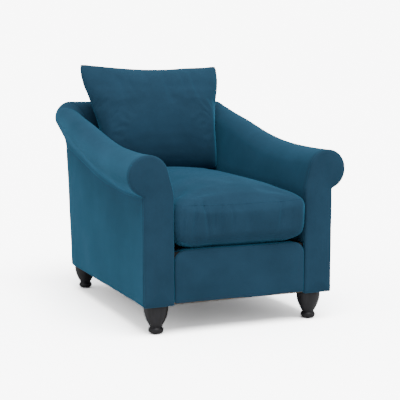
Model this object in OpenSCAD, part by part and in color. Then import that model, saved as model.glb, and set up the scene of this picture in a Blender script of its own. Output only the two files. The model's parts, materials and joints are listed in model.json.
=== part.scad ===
// Scroll-arm upholstered armchair with loose seat and back cushions on four turned legs.
// Millimetres. X is the chair's left to right, -Y is its front, +Z is up, and z = 0 is the floor.

/* [Overall size] */
// Width over the two arm scrolls
chair_w = 856; // [848:2:866]
// Depth from the seat cushion's front to the back roll
chair_d = 1088; // [1084:2:1096]
// Width of the body below the scrolls
body_w = 746; // [740:2:752]
// Clear width between the arms
seat_w = 518; // [516:1:522]
// Height of the arm scroll at the front
arm_h = 644; // [638:1:648]
// Height of the back roll
back_h = 804; // [798:1:808]
// Height of the body's underside over the floor
base_z = 109; // [106:1:112]

/* [Arms and back] */
// Radius of the front scroll
scroll_r = 74; // [73:0.5:75]
// Rise of the arm per unit of depth behind its level front
arm_slope = 0.218; // [0.21:0.002:0.226]
// Rake of the outside back, as a slope
back_rake = 0.13; // [0.1:0.01:0.15]
// Lean of the inside back, as a slope
back_lean = 0.19; // [0.16:0.01:0.2]
// Thickness of the arm padding
arm_pad_t = 24; // [20:1:25]
// Thickness of the back padding
back_pad_t = 36; // [30:1:36]

/* [Cushions] */
// Height of the seat cushion's crown over the floor
seat_crown_z = 538; // [532:1:542]
// Height of the back cushion's top corners over the floor
pillow_top_z = 965; // [950:1:972]
// Half the back cushion's width at its top corners
pillow_top_x = 313; // [304:1:316]

/* [Legs] */
// Radius at the top of a leg
leg_r = 43; // [40:1:44]
// Radius of a leg's waist above its toe
waist_r = 22; // [20:1:24]
// Distance of a leg's axis from the middle of the chair
leg_x = 309; // [306:1:309]
// Front legs' axis
leg_front_y = -460; // [-462:1:-458]
// Rear legs' axis
leg_rear_y = 407; // [403:1:407]

/* [Hidden] */
$fn = 48;
half_w = chair_w / 2;
panel_x = body_w / 2;
inner_x = seat_w / 2;
rear_y = chair_d / 2;
seat_front_y = -chair_d / 2;
front_y = seat_front_y + 30;          // front plane of the rail and the arm fronts
facing_bulge = 16;                    // the arm fronts swell this far in front of that plane
panel_t = 6;                          // tack board and cover of the outside panels
base_back_y = 457;                    // outside back at the base
plan_r = 80;                          // rounding of the body's rear corners in plan
roll_plan_r = 76;                     // rounding of the roll's rear corners in plan
rear_roll_x = half_w - 16;            // the roll narrows towards the back
inner_back_y = 411;                   // inside back at its top
inner_corner_r = 20;
board_t = 22;                         // thickness of the frame timber
board_y = front_y + 14;               // front face of the front boards
board_back_y = board_y + board_t;
skin = 1.5;                           // dust cover and deck cover
wood_z = base_z + skin;
rail_top_z = 262.5;
deck_z = 300;                         // top of the seat deck, where the cushion lies
side_rail_x = panel_x - 8;            // outer face of the side timbers
arm_frame_x = 287;                    // inner face of the arm timbers
post_in_x = 321;
post_out_x = 343;
post_y = 365;
post_depth = 60;
post_top_z = 618;
rear_rail_y = 427;
rear_rail_half = 293;
rise_start = front_y + 134;
rise_len = 480;
bolt_r = 4;
play = 0.05;                          // radial clearance round pins and bolts
cushion_gap = 3;

velvet = [0.16, 0.37, 0.47];
timber = [0.78, 0.64, 0.45];
steel = [0.72, 0.73, 0.75];
black_cloth = [0.1, 0.1, 0.1];
jute = [0.72, 0.62, 0.44];
foam = [0.92, 0.88, 0.76];
stain = [0.15, 0.14, 0.16];

// ---------- helpers ----------
function mix(a, b, t) = a + (b - a) * t;
function clamp01(t) = min(1, max(0, t));
function smooth(t) = let (c = clamp01(t)) c * c * (3 - 2 * c);

// A closed solid through rings of points; all rings have the same count. Each end is closed by a
// fan of triangles from the point numbered hub, which is the inward corner of a hooked outline.
module loft(rings, hub = 0) {
    n = len(rings[0]);
    m = len(rings);
    points = [for (ring = rings) each ring];
    sides = [for (k = [0:m - 2], i = [0:n - 1], half = [0, 1])
        let (a = k * n + i, b = k * n + (i + 1) % n)
        half == 0 ? [a, b + n, b] : [a, a + n, b + n]];
    first = [for (i = [1:n - 2]) [hub, (hub + i) % n, (hub + i + 1) % n]];
    last = [for (face = first) [for (i = [2, 1, 0]) (m - 1) * n + face[i]]];
    polyhedron(points, concat(first, sides, last), convexity = 6);
}

module both_sides() {
    children();
    mirror([1, 0, 0]) children();
}

// Extrudes a front-view outline (x, z) from y0 back to y1.
module front_prism(y0, y1) {
    translate([0, y1, 0]) rotate([90, 0, 0]) linear_extrude(y1 - y0) children();
}

// Extrudes a side-view outline (y, z) from x0 to x1.
module side_prism(x0, x1) {
    translate([x0, 0, 0]) rotate([90, 0, 90]) linear_extrude(x1 - x0) children();
}

module at_legs() {
    for (side = [-1, 1], y = [leg_front_y, leg_rear_y])
        translate([side * leg_x, y, 0]) children();
}

// ---------- lines that the upholstery follows ----------
// Top of the arm roll: level in front, easing into a straight rise.
function roll_top(y) = y < rise_start ? arm_h
    : y < rise_start + rise_len ? arm_h + arm_slope * pow(y - rise_start, 2) / (2 * rise_len)
    : arm_h + arm_slope * (y - rise_start - rise_len / 2);
roll_depth_front = 146;
roll_depth_back = 138;
// Crease under the arm roll, where the outside panel meets it.
function arm_crease(y) = roll_top(y)
    - mix(roll_depth_front, roll_depth_back, clamp01((y - front_y) / (rear_y - front_y)));
back_crease = back_h - roll_depth_back;
function outside_back_y(z) = base_back_y + (z - base_z) * back_rake;
function post_front(z) = post_y + max(0, z - rail_top_z) * (back_lean + 0.01);
function post_rear(z) = post_y + post_depth + (z - wood_z) * back_rake;

// One section of roll and inside padding. Inner and outer are its plan points, top its height,
// r the radius of the roll outside its crest. Inside it the roll is as large as lets its steep side
// meet the padding's face at face_top.
scroll_from = 165;
inner_steps = 5;
outer_steps = 9;
section_hub = inner_steps + outer_steps + 4; // the corner between the inside padding and the roll
function roll_section(inner, outer, top, depth, r, face_top, overhang, lean, pad_t) =
    let (w = norm(outer - inner),
        dir = (outer - inner) / w,
        cu = w - r,
        cz = top - r,
        edge = [w - overhang, top - depth],
        to_edge = edge - [cu, cz],
        last = atan2(to_edge[1], to_edge[0]) + acos(min(1, r / norm(to_edge))),
        inner_r = (face_top - top - cu / tan(scroll_from)) / (1 / sin(scroll_from) - 1),
        profile = concat(
            [[-lean * (face_top - deck_z), deck_z], [0, face_top]],
            [for (i = [0:inner_steps - 1])
                let (a = mix(scroll_from, 90, i / inner_steps))
                [cu + inner_r * cos(a), top - inner_r * (1 - sin(a))]],
            [for (i = [0:outer_steps])
                let (a = mix(90, last, i / outer_steps))
                [cu + r * cos(a), cz + r * sin(a)]],
            [edge,
                [pad_t - lean * (face_top - edge[1]), edge[1]],
                [pad_t - lean * (face_top - deck_z), deck_z]]))
    [for (p = profile) [inner[0] + dir[0] * p[0], inner[1] + dir[1] * p[0], p[1]]];

arm_steps = 14;
corner_steps = 4;
back_steps = 3;
front_overhang = half_w - panel_x;
rear_overhang = rear_roll_x - panel_x + 4;
back_overhang = 18;
rear_scroll_r = 44;
front_face_top = 502;
rear_face_top = 549;
back_scroll_r = 48;
back_face_top = 733;
// Section of the right arm, t = 0 behind the front board and 1 where the rear corner begins.
function arm_section(t) =
    let (y_in = mix(board_back_y + 1, inner_back_y - inner_corner_r, t),
        y_out = mix(board_back_y + 1, rear_y - roll_plan_r, t))
    roll_section([inner_x, y_in], [mix(half_w, rear_roll_x, t), y_out], roll_top(y_out),
        roll_top(y_out) - arm_crease(y_out), mix(scroll_r, rear_scroll_r, t),
        mix(front_face_top, rear_face_top, t),
        mix(front_overhang, rear_overhang, t), 0, arm_pad_t);
corner_haste = 1.5;                   // the roll reaches the back's height this much before the turn ends
corner_top = roll_top(rear_y - roll_plan_r);
corner_depth = corner_top - arm_crease(rear_y - roll_plan_r);
// Section in the right rear corner, t = 0 at the arm and 1 at the back.
function corner_section(t) =
    let (a = 90 * t,
        s = smooth(t),
        up = smooth(corner_haste * t),
        ci = [inner_x - inner_corner_r, inner_back_y - inner_corner_r],
        co = [rear_roll_x - roll_plan_r, rear_y - roll_plan_r])
    roll_section(ci + inner_corner_r * [cos(a), sin(a)], co + roll_plan_r * [cos(a), sin(a)],
        mix(corner_top, back_h, up), mix(corner_depth, roll_depth_back, up),
        mix(rear_scroll_r, back_scroll_r, up),
        mix(rear_face_top, back_face_top, sin(90 * clamp01(2 * t - 1))),
        mix(rear_overhang, back_overhang, s), back_lean * s, mix(arm_pad_t, back_pad_t, s * s));
// Section across the back, from its right end, s = 1, to its left end, s = -1.
function back_section(s) =
    roll_section([s * (inner_x - inner_corner_r), inner_back_y],
        [s * (rear_roll_x - roll_plan_r), rear_y], back_h, roll_depth_back, back_scroll_r, back_face_top,
        back_overhang, back_lean, back_pad_t);
function mirrored(ring) = [for (p = ring) [-p[0], p[1], p[2]]];

// ---------- timber frame ----------
dowel_r = 5;
dowel_len = 38;
dowel_bore_len = 60;
dowel_z = [150, 225];
module dowel_places() {
    both_sides() for (z = dowel_z)
        translate([arm_frame_x, board_y + board_t / 2, z]) rotate([0, 90, 0]) children();
}
screw_r = 2.5;
screw_len = 42;
screw_head_r = 5;
screw_head_h = 3;
screw_z = 132;
front_screw_x = 262;
rear_screw_x = 270;
module screw_places() {
    both_sides() {
        translate([front_screw_x, board_y, screw_z]) rotate([-90, 0, 0]) children();
        translate([rear_screw_x, rear_rail_y + board_t, screw_z]) rotate([90, 0, 0]) children();
    }
}
module screw(extra) {
    cylinder(h = screw_len, r = screw_r + extra);
    cylinder(h = screw_head_h, r1 = screw_head_r + extra, r2 = screw_r + extra);
}

module front_seat_rail() {
    color(timber) difference() {
        translate([-arm_frame_x, board_y, wood_z])
            cube([2 * arm_frame_x, board_t, rail_top_z - wood_z]);
        dowel_places() cylinder(h = dowel_bore_len, r = dowel_r + play, center = true);
        screw_places() screw(play);
    }
}
module rear_seat_rail() {
    color(timber) difference() {
        translate([-rear_rail_half, rear_rail_y, wood_z])
            cube([2 * rear_rail_half, board_t, rail_top_z - wood_z]);
        screw_places() screw(play);
    }
}
side_rail_end_y = 390;
side_rail_h = 120;
module right_seat_rail() {
    color(timber) translate([post_out_x, board_back_y, wood_z])
        cube([side_rail_x - post_out_x, side_rail_end_y - board_back_y, side_rail_h]);
}
module left_seat_rail() { mirror([1, 0, 0]) right_seat_rail(); }

block_h = 40;
block_w = 98;
block_d = 78;
block_end_w = 24;
block_end_d = 4;
tnut_h = 12;
tnut_r = 5.5;
module corner_block() {
    linear_extrude(block_h) polygon([[0, 0], [0, block_d], [-block_end_w, block_d],
        [-block_w, block_end_d], [-block_w, 0]]);
}
module corner_blocks() {
    color(timber) difference() {
        both_sides() {
            translate([post_out_x, board_back_y, wood_z]) corner_block();
            translate([post_in_x, rear_rail_y, wood_z]) mirror([0, 1, 0]) corner_block();
        }
        at_legs() {
            translate([0, 0, base_z]) cylinder(h = 2 * block_h, r = bolt_r + play);
            translate([0, 0, wood_z + block_h - tnut_h]) cylinder(h = 2 * tnut_h, r = tnut_r + play);
        }
        screw_places() screw(play);
    }
}

// Front view of an arm, inset by d: a post with the round scroll on top.
facing_in_x = inner_x + 2;
scroll_x = half_w - scroll_r;
scroll_z = arm_h - scroll_r;
facing_steps = 16;
function arm_outline(d) =
    let (r = scroll_r - d,
        drop = (scroll_x - facing_in_x - d + r * cos(scroll_from)) / tan(180 - scroll_from),
        last = -acos((panel_x - d - scroll_x) / r))
    concat([[facing_in_x + d, base_z + d], [facing_in_x + d, scroll_z + r * sin(scroll_from) - drop]],
        [for (i = [0:facing_steps])
            let (a = mix(scroll_from, last, i / facing_steps))
            [scroll_x + r * cos(a), scroll_z + r * sin(a)]],
        [[panel_x - d, base_z + d]]);

board_inset = 14;
module arm_board_shape(extra) {
    translate([scroll_x, scroll_z]) circle(r = scroll_r - board_inset + extra);
    translate([arm_frame_x - extra, base_z - extra])
        square([side_rail_x - arm_frame_x + 2 * extra, scroll_z - base_z + extra]);
}
module right_arm_board() {
    color(timber) difference() {
        intersection() {
            front_prism(board_y, board_back_y) arm_board_shape(0);
            translate([0, board_y - 1, wood_z]) cube([half_w, board_t + 2, arm_h]);
        }
        dowel_places() cylinder(h = dowel_bore_len, r = dowel_r + play, center = true);
    }
}
module left_arm_board() { mirror([1, 0, 0]) right_arm_board(); }

arm_rail_h = 24;
arm_rail_drop = 2;
module right_arm_top_rail() {
    steps = 8;
    end_y = post_front(post_top_z - 2 * arm_rail_h) - 1;
    top = [for (i = [0:steps]) let (y = mix(board_back_y, end_y, i / steps))
        [y, arm_crease(y) - arm_rail_drop]];
    bottom = [for (i = [steps:-1:0]) top[i] - [0, arm_rail_h]];
    color(timber) side_prism(arm_frame_x, side_rail_x) polygon(concat(top, bottom));
}
module left_arm_top_rail() { mirror([1, 0, 0]) right_arm_top_rail(); }

tack_rail_z = 268;
tack_rail_h = 40;
tack_rail_end_y = 395;
module right_arm_tack_rail() {
    color(timber) translate([arm_frame_x, board_back_y, tack_rail_z])
        cube([board_t, tack_rail_end_y - board_back_y, tack_rail_h]);
}
module left_arm_tack_rail() { mirror([1, 0, 0]) right_arm_tack_rail(); }

module right_back_post() {
    color(timber) side_prism(post_in_x, post_out_x) polygon([
        [post_y, wood_z], [post_rear(wood_z), wood_z], [post_rear(post_top_z), post_top_z],
        [post_front(post_top_z), post_top_z], [post_y, rail_top_z]]);
}
module left_back_post() { mirror([1, 0, 0]) right_back_post(); }

back_rail_h = 40;
back_tack_z = 330;
back_tack_y = 420;
module back_top_rail() {
    z0 = post_top_z - back_rail_h;
    z1 = post_top_z;
    color(timber) side_prism(-post_in_x, post_in_x) polygon([
        [post_front(z0), z0], [post_front(z0) + board_t, z0],
        [post_front(z1) + board_t, z1], [post_front(z1), z1]]);
}
module back_tack_rail() {
    color(timber) translate([-post_in_x, back_tack_y, back_tack_z])
        cube([2 * post_in_x, board_t, back_rail_h]);
}
module frame_dowels() {
    color(timber) dowel_places() cylinder(h = dowel_len, r = dowel_r, center = true);
}
module frame_screws() {
    color(steel) screw_places() screw(0);
}

// ---------- suspension ----------
strap_w = 50;
strap_t = 1.5;
strap_gap = 0.2;
strap_end = 4;                        // the straps stop this far below the arm's top rail
arm_strap_y = [-330, -120, 90, 290];
back_strap_x = [-210, -70, 70, 210];
module arm_webbing() {
    color(jute) both_sides() for (y = arm_strap_y)
        translate([arm_frame_x - strap_t - strap_gap, y, tack_rail_z])
            cube([strap_t, strap_w, arm_crease(y) - arm_rail_drop - tack_rail_z - strap_end]);
}
module back_webbing() {
    rail_z = post_top_z - back_rail_h;
    line = [[back_tack_y, back_tack_z], [back_tack_y, back_tack_z + back_rail_h],
        [post_front(rail_z), rail_z], [post_front(post_top_z), post_top_z]];
    color(jute) for (x = back_strap_x)
        side_prism(x - strap_w / 2, x + strap_w / 2) polygon(concat(
            [for (p = line) p - [strap_gap, 0]],
            [for (i = [len(line) - 1:-1:0]) line[i] - [strap_gap + strap_t, 0]]));
}

wire_t = 4;
spring_turns = 35;
spring_y0 = board_y + board_t / 2;
spring_y1 = rear_rail_y + board_t / 2;
spring_pitch = (spring_y1 - spring_y0) / spring_turns;
spring_half = 15;
spring_x = [-180, -60, 60, 180];
turn_steps = 5;
// One edge of the zig-zag wire: turns alternate sides, so the offset's sign alternates too.
function wire_edge(offset) = [for (k = [0:spring_turns - 1], i = [0:turn_steps])
    let (side = k % 2 == 0 ? 1 : -1,
        r = spring_pitch / 2 - side * offset,
        a = -90 + 180 * i / turn_steps)
    [side * (spring_half + r * cos(a)), spring_y0 + (k + 0.5) * spring_pitch + r * sin(a)]];
module zigzag_spring() {
    left = wire_edge(wire_t / 2);
    right = wire_edge(-wire_t / 2);
    last_side = spring_turns % 2 == 0 ? 1 : -1;
    end_x = last_side * spring_half;
    polygon(concat(
        [[-spring_half, spring_y0 + wire_t / 2]], left,
        [[end_x, spring_y1 - wire_t / 2], [end_x, spring_y1 + wire_t / 2]],
        [for (i = [len(right) - 1:-1:0]) right[i]],
        [[-spring_half, spring_y0 - wire_t / 2]]));
}
module seat_springs() {
    color(steel) for (x = spring_x)
        translate([x, 0, rail_top_z]) linear_extrude(wire_t) zigzag_spring();
}
clip_t = 1.5;
clip_w = 12;
clip_len = 16;
clip_play = 0.1;
module spring_clips() {
    slot_w = wire_t + 2 * clip_play;
    color(steel) for (x = spring_x, y = [spring_y0, spring_y1])
        translate([x, y, rail_top_z]) difference() {
            translate([-clip_w / 2, -clip_len / 2, 0]) cube([clip_w, clip_len, wire_t + clip_t]);
            translate([-clip_w, -slot_w / 2, -wire_t]) cube([2 * clip_w, slot_w, 2 * wire_t + clip_play]);
        }
}

// ---------- seat deck ----------
deck_half = inner_x - 2;
deck_front_y = front_y + 55;
lay_gap = 0.2;                        // between layers that lie on each other
felt_z = rail_top_z + wire_t + clip_t + lay_gap;
felt_t = 4;
deck_back_y = rear_rail_y + board_t - 1;
module spring_felt() {
    color(jute) translate([-deck_half, board_y + 1, felt_z])
        cube([2 * deck_half, deck_back_y - board_y - 1, felt_t]);
}
module deck_foam() {
    z0 = felt_z + felt_t;
    color(foam) translate([-deck_half, deck_front_y, z0])
        cube([2 * deck_half, deck_back_y - deck_front_y, deck_z - 2 - z0]);
}
module deck_cover() {
    color(black_cloth) translate([-deck_half, deck_front_y, deck_z - 2])
        cube([2 * deck_half, deck_back_y - deck_front_y, skin]);
}

// ---------- covers and padding on the frame ----------
border_top_z = deck_z + 1;
border_r = 45;
border_nose_r = 13;
module front_border() {
    nose_z = felt_z + felt_t + lay_gap;
    nose_y = front_y + border_nose_r;
    face_h = border_top_z - border_nose_r - base_z;
    color(velvet) intersection() {
        side_prism(-deck_half, deck_half) difference() {
            union() {
                translate([front_y, base_z]) square([border_nose_r, face_h]);
                translate([nose_y, border_top_z - border_nose_r]) circle(r = border_nose_r);
                translate([nose_y, nose_z]) square([deck_front_y - 1 - nose_y, border_top_z - nose_z]);
            }
            translate([nose_y, base_z - 1]) square([2 * border_nose_r, nose_z - base_z + 1]);
        }
        front_prism(front_y - 1, deck_front_y) {
            translate([-deck_half, base_z]) square([2 * deck_half, border_top_z - border_r - base_z]);
            translate([-deck_half + border_r, base_z])
                square([2 * (deck_half - border_r), border_top_z - base_z]);
            for (side = [-1, 1])
                translate([side * (deck_half - border_r), border_top_z - border_r]) circle(r = border_r);
        }
    }
}

module right_arm_pad() {
    color(velvet) loft(concat(
        [for (i = [0:arm_steps]) arm_section(i / arm_steps)],
        [for (i = [1:corner_steps / 2]) corner_section(i / corner_steps)]), section_hub);
}
module left_arm_pad() {
    mirror([1, 0, 0]) right_arm_pad();
}
module back_pad() {
    color(velvet) loft(concat(
        [for (i = [corner_steps / 2:corner_steps - 1]) corner_section(i / corner_steps)],
        [for (i = [0:2 * back_steps]) back_section(1 - i / back_steps)],
        [for (i = [corner_steps - 1:-1:corner_steps / 2]) mirrored(corner_section(i / corner_steps))]),
        section_hub);
}

// How far in and how far forward the arm front's rounded edge runs.
facing_edge = [[0, 0], [3, 9], [9, 14], [20, facing_bulge]];
module right_arm_facing() {
    rings = concat([[board_back_y, 0]], [for (e = facing_edge) [front_y - e[1], e[0]]]);
    color(velvet) difference() {
        loft([for (ring = [for (i = [len(rings) - 1:-1:0]) rings[i]])
            [for (p = arm_outline(ring[1])) [p[0], ring[0], p[1]]]], facing_steps + 2);
        front_prism(board_y - 0.3, board_back_y + 1) {
            arm_board_shape(0.3);
            translate([0, base_z - 1]) square([arm_frame_x, rail_top_z + 1.3 - base_z]);
        }
    }
}
module left_arm_facing() { mirror([1, 0, 0]) right_arm_facing(); }

panel_split_y = 340;
module right_outside_arm() {
    steps = 10;
    top = [for (i = [0:steps]) let (y = mix(board_back_y + 0.5, panel_split_y, i / steps))
        [y, arm_crease(y) - 1]];
    color(velvet) side_prism(panel_x - panel_t, panel_x)
        polygon(concat([[panel_split_y, base_z], [board_back_y + 0.5, base_z]], top));
}
module left_outside_arm() { mirror([1, 0, 0]) right_outside_arm(); }

// Plan point of the outside back at height z: side from 0 to 1, corner from 1 to 2, back to 3.
function back_plan(s, z, inset) =
    let (yb = outside_back_y(z),
        r = plan_r - inset,
        a = 90 * clamp01(s - 1))
    s < 1 ? [panel_x - inset, mix(panel_split_y + 0.5, yb - plan_r, s), z]
    : s <= 2 ? [panel_x - plan_r + r * cos(a), yb - plan_r + r * sin(a), z]
    : [mix(panel_x - plan_r, 0, s - 2), yb - inset, z];
function back_panel_top(s) =
    s < 1 ? arm_crease(mix(panel_split_y, rear_y - roll_plan_r, s)) - 4
    : mix(arm_crease(rear_y - roll_plan_r) - 4, back_crease - 4,
        smooth(corner_haste * (s - 1)));
function back_panel_ring(s) = let (top = back_panel_top(s)) [back_plan(s, base_z, panel_t),
    back_plan(s, top, panel_t), back_plan(s, top, 0), back_plan(s, base_z, 0)];
module outside_back() {
    stations = [0, 0.5, 1, 1.17, 1.33, 1.5, 1.67, 1.83, 2, 2.5, 3];
    right = [for (s = stations) back_panel_ring(s)];
    left = [for (i = [len(stations) - 2:-1:0]) mirrored(right[i])];
    color(velvet) loft(concat(right, left));
}

module dust_cover() {
    half = panel_x - panel_t - 0.5;
    back = base_back_y - panel_t - 0.5;
    r = plan_r - panel_t;
    color(black_cloth) difference() {
        translate([0, 0, base_z]) linear_extrude(skin) {
            translate([-half, board_back_y]) square([2 * half, back - r - board_back_y]);
            translate([-half + r, board_back_y]) square([2 * (half - r), back - board_back_y]);
            translate([-arm_frame_x + 0.5, board_y])
                square([2 * arm_frame_x - 1, board_t + 1]);
            for (side = [-1, 1]) translate([side * (half - r), back - r]) circle(r = r);
        }
        at_legs() cylinder(h = 2 * base_z, r = bolt_r + 1);
    }
}

// ---------- cushions ----------
// Superellipse, so that a cushion is nearly square in plan with soft corners.
plan_points = 36;
function squircle(a, b, power) = [for (i = [0:plan_points - 1])
    let (t = 360 * i / plan_points, c = cos(t), s = sin(t))
    [a * sign(c) * pow(abs(c), power), b * sign(s) * pow(abs(s), power)]];

seat_half = inner_x - cushion_gap;
seat_back_y = 326;
seat_mid_y = (seat_front_y + seat_back_y) / 2;
seat_half_d = (seat_back_y - seat_front_y) / 2;
seat_bottom_z = deck_z + 2;
seat_corner = 0.22;                   // power of the plan outline: less is squarer
// Insets of the seat cushion's rings from its widest outline, and their heights: a boxed side
// from the lower seam to the upper one at 470, then the crown.
seat_rings = [[44, seat_bottom_z], [20, seat_bottom_z + 10], [5, seat_bottom_z + 32],
    [0, seat_bottom_z + 70], [0, 442], [4, 464], [18, 480], [60, 504], [118, 524],
    [180, seat_crown_z - 3], [236, seat_crown_z]];
module seat_solid(skin_in) {
    mid = (seat_bottom_z + seat_crown_z) / 2;
    loft([for (ring = seat_rings)
        let (in = ring[0] + skin_in, z = ring[1] + skin_in * (ring[1] < mid ? 1 : -1))
        [for (p = squircle(seat_half - in, seat_half_d - in, seat_corner))
            [p[0], p[1] + seat_mid_y, z]]]);
}
cover_t = 3;
core_gap = 0.5;
zip_z = 352;
zip_half = 200;
zip_tape_t = 1.2;
seat_tape_w = 24;
back_tape_w = 8;
zip_gap = 0.3;
zip_slot = 3;
module seat_cushion_cover() {
    color(velvet) difference() {
        seat_solid(0);
        seat_solid(cover_t);
        translate([-zip_half, seat_back_y - 2 * cover_t, zip_z - zip_slot / 2])
            cube([2 * zip_half, 3 * cover_t, zip_slot]);
    }
}
module seat_cushion_core() {
    color(foam) seat_solid(cover_t + core_gap);
}
module seat_zip_tape() {
    color(black_cloth) translate([-zip_half, seat_back_y + lay_gap, zip_z - seat_tape_w / 2])
        cube([2 * zip_half, zip_tape_t, seat_tape_w]);
}
seat_slider_x = 185;
back_slider_x = 173;
slider_w = 10;
slider_t = 4;
module slider_body() {
    difference() {
        translate([-slider_w / 2, 0, -slider_w / 2]) cube([slider_w, slider_t, slider_w]);
        translate([-slider_w, slider_t / 4, -slider_w / 5])
            cube([2 * slider_w, slider_t * 0.35, slider_w * 0.4]);
    }
}
module seat_zip_slider() {
    color(steel) translate([-seat_slider_x, seat_back_y + lay_gap + zip_tape_t + zip_gap, zip_z])
        slider_body();
}

pillow_foot_y = 282;
pillow_foot_z = 512;
pillow_head_y = 422;
pillow_foot_x = inner_x - cushion_gap - 1;
pillow_steps = 14;
// Middle line, half width and thickness of the back cushion, v = 0 at its foot and 1 at its top.
pillow_waist = 4;
function pillow_half(v) = mix(pillow_foot_x, pillow_top_x, smooth((v - 0.3) / 0.62))
    - pillow_waist * sin(180 * v);
function pillow_fill(v) = 0.1 + 0.9 * pow(sin(180 * mix(0.01, 0.99, v)), 0.6);
pillow_front = 112;
pillow_rear = 50;
module pillow_solid(skin_in) {
    loft([for (i = [0:pillow_steps])
        let (v = i / pillow_steps,
            shrink = skin_in / (pillow_top_z - pillow_foot_z) * (i == 0 ? 1 : i == pillow_steps ? -1 : 0),
            y = mix(pillow_foot_y, pillow_head_y, v),
            z = mix(pillow_foot_z, pillow_top_z, v + shrink),
            f = pillow_fill(v))
        [for (p = squircle(pillow_half(v) - skin_in, 1, 0.8))
            [p[0], y + p[1] * ((p[1] < 0 ? pillow_front : pillow_rear) * f - skin_in), z]]]);
}
back_zip_y = 283;
back_zip_half = 190;
module back_cushion_cover() {
    color(velvet) difference() {
        pillow_solid(0);
        pillow_solid(cover_t);
        translate([-back_zip_half, back_zip_y - zip_slot / 2, pillow_foot_z - cover_t])
            cube([2 * back_zip_half, zip_slot, 3 * cover_t]);
    }
}
module back_cushion_core() {
    color(foam) pillow_solid(cover_t + core_gap);
}
module back_zip_tape() {
    color(black_cloth)
        translate([-back_zip_half, back_zip_y - back_tape_w / 2, pillow_foot_z - lay_gap - zip_tape_t])
            cube([2 * back_zip_half, back_tape_w, zip_tape_t]);
}
module back_zip_slider() {
    color(steel)
        translate([-back_slider_x, back_zip_y, pillow_foot_z - lay_gap - zip_tape_t - zip_gap])
            rotate([-90, 0, 0]) slider_body();
}

// ---------- legs and their hardware ----------
toe_x = 15;
toe_z = 14.5;
toe_r = 12.5;
waist_z = 26;
swell_z = 95;
leg_bead = 2;
glide_h = 3;
glide_r = 12;
pin_r = 2;
pin_h = 12;
module leg_profile() {
    steps = 10;
    swell = [for (i = [0:steps]) let (t = i / steps)
        [waist_r + (leg_r - waist_r) * pow(sin(90 * t), 0.9), mix(waist_z, swell_z, t)]];
    polygon(concat([[0, glide_h], [toe_x, glide_h]],
        [for (a = [-60:20:50]) [toe_x + toe_r * cos(a), toe_z + toe_r * sin(a)]],
        swell, [[leg_r, base_z - leg_bead], [leg_r - leg_bead, base_z], [0, base_z]]));
}
bolt_low_z = 58;
bolt_high_z = 150;
module turned_leg() {
    color(stain) difference() {
        rotate_extrude($fn = 64) leg_profile();
        translate([0, 0, bolt_low_z]) cylinder(h = base_z, r = bolt_r + play);
        cylinder(h = glide_h + pin_h, r = pin_r + play);
    }
}
module front_left_leg() { translate([-leg_x, leg_front_y, 0]) turned_leg(); }
module front_right_leg() { translate([leg_x, leg_front_y, 0]) turned_leg(); }
module rear_left_leg() { translate([-leg_x, leg_rear_y, 0]) turned_leg(); }
module rear_right_leg() { translate([leg_x, leg_rear_y, 0]) turned_leg(); }
module hanger_bolts() {
    color(steel) at_legs() translate([0, 0, bolt_low_z])
        cylinder(h = bolt_high_z - bolt_low_z, r = bolt_r);
}
flange_t = 1.5;
flange_r = 11;
module t_nuts() {
    top = wood_z + block_h;
    color(steel) at_legs() difference() {
        union() {
            translate([0, 0, top - tnut_h]) cylinder(h = tnut_h, r = tnut_r);
            translate([0, 0, top]) cylinder(h = flange_t, r = flange_r);
        }
        translate([0, 0, base_z]) cylinder(h = base_z, r = bolt_r + play);
    }
}
module leg_glides() {
    color(black_cloth) at_legs() {
        cylinder(h = glide_h, r = glide_r);
        cylinder(h = glide_h + pin_h - 1, r = pin_r);
    }
}

front_seat_rail();
rear_seat_rail();
left_seat_rail();
right_seat_rail();
corner_blocks();
left_arm_board();
right_arm_board();
left_arm_top_rail();
right_arm_top_rail();
left_arm_tack_rail();
right_arm_tack_rail();
left_back_post();
right_back_post();
back_top_rail();
back_tack_rail();
frame_dowels();
frame_screws();
arm_webbing();
back_webbing();
seat_springs();
spring_clips();
spring_felt();
deck_foam();
deck_cover();
front_border();
left_arm_pad();
right_arm_pad();
back_pad();
left_arm_facing();
right_arm_facing();
left_outside_arm();
right_outside_arm();
outside_back();
dust_cover();
seat_cushion_cover();
seat_cushion_core();
seat_zip_tape();
seat_zip_slider();
back_cushion_cover();
back_cushion_core();
back_zip_tape();
back_zip_slider();
front_left_leg();
front_right_leg();
rear_left_leg();
rear_right_leg();
hanger_bolts();
t_nuts();
leg_glides();
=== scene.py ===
"""Upholstered scroll-arm armchair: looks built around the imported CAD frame. Metres, +Z up, front is -Y."""

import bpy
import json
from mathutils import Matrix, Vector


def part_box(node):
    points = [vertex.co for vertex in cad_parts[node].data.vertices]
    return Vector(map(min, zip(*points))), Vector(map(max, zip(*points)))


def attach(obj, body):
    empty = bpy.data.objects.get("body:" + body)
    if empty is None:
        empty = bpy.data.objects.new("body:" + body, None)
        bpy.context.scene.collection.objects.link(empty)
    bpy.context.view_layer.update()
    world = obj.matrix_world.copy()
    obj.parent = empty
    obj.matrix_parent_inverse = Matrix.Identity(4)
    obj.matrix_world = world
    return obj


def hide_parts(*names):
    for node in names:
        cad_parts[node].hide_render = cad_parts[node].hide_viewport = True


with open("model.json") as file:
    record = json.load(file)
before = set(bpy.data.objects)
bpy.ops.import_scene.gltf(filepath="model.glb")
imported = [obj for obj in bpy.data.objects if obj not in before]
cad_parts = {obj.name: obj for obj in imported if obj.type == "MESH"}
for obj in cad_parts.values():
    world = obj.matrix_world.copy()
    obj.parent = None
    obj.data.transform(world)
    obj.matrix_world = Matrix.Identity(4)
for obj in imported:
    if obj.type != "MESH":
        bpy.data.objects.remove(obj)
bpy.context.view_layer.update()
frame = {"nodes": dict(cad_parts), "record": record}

import json
import math

import bpy
import bmesh
import numpy as np
from mathutils import Vector, noise
from mathutils.bvhtree import BVHTree

MM = 0.001


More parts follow.
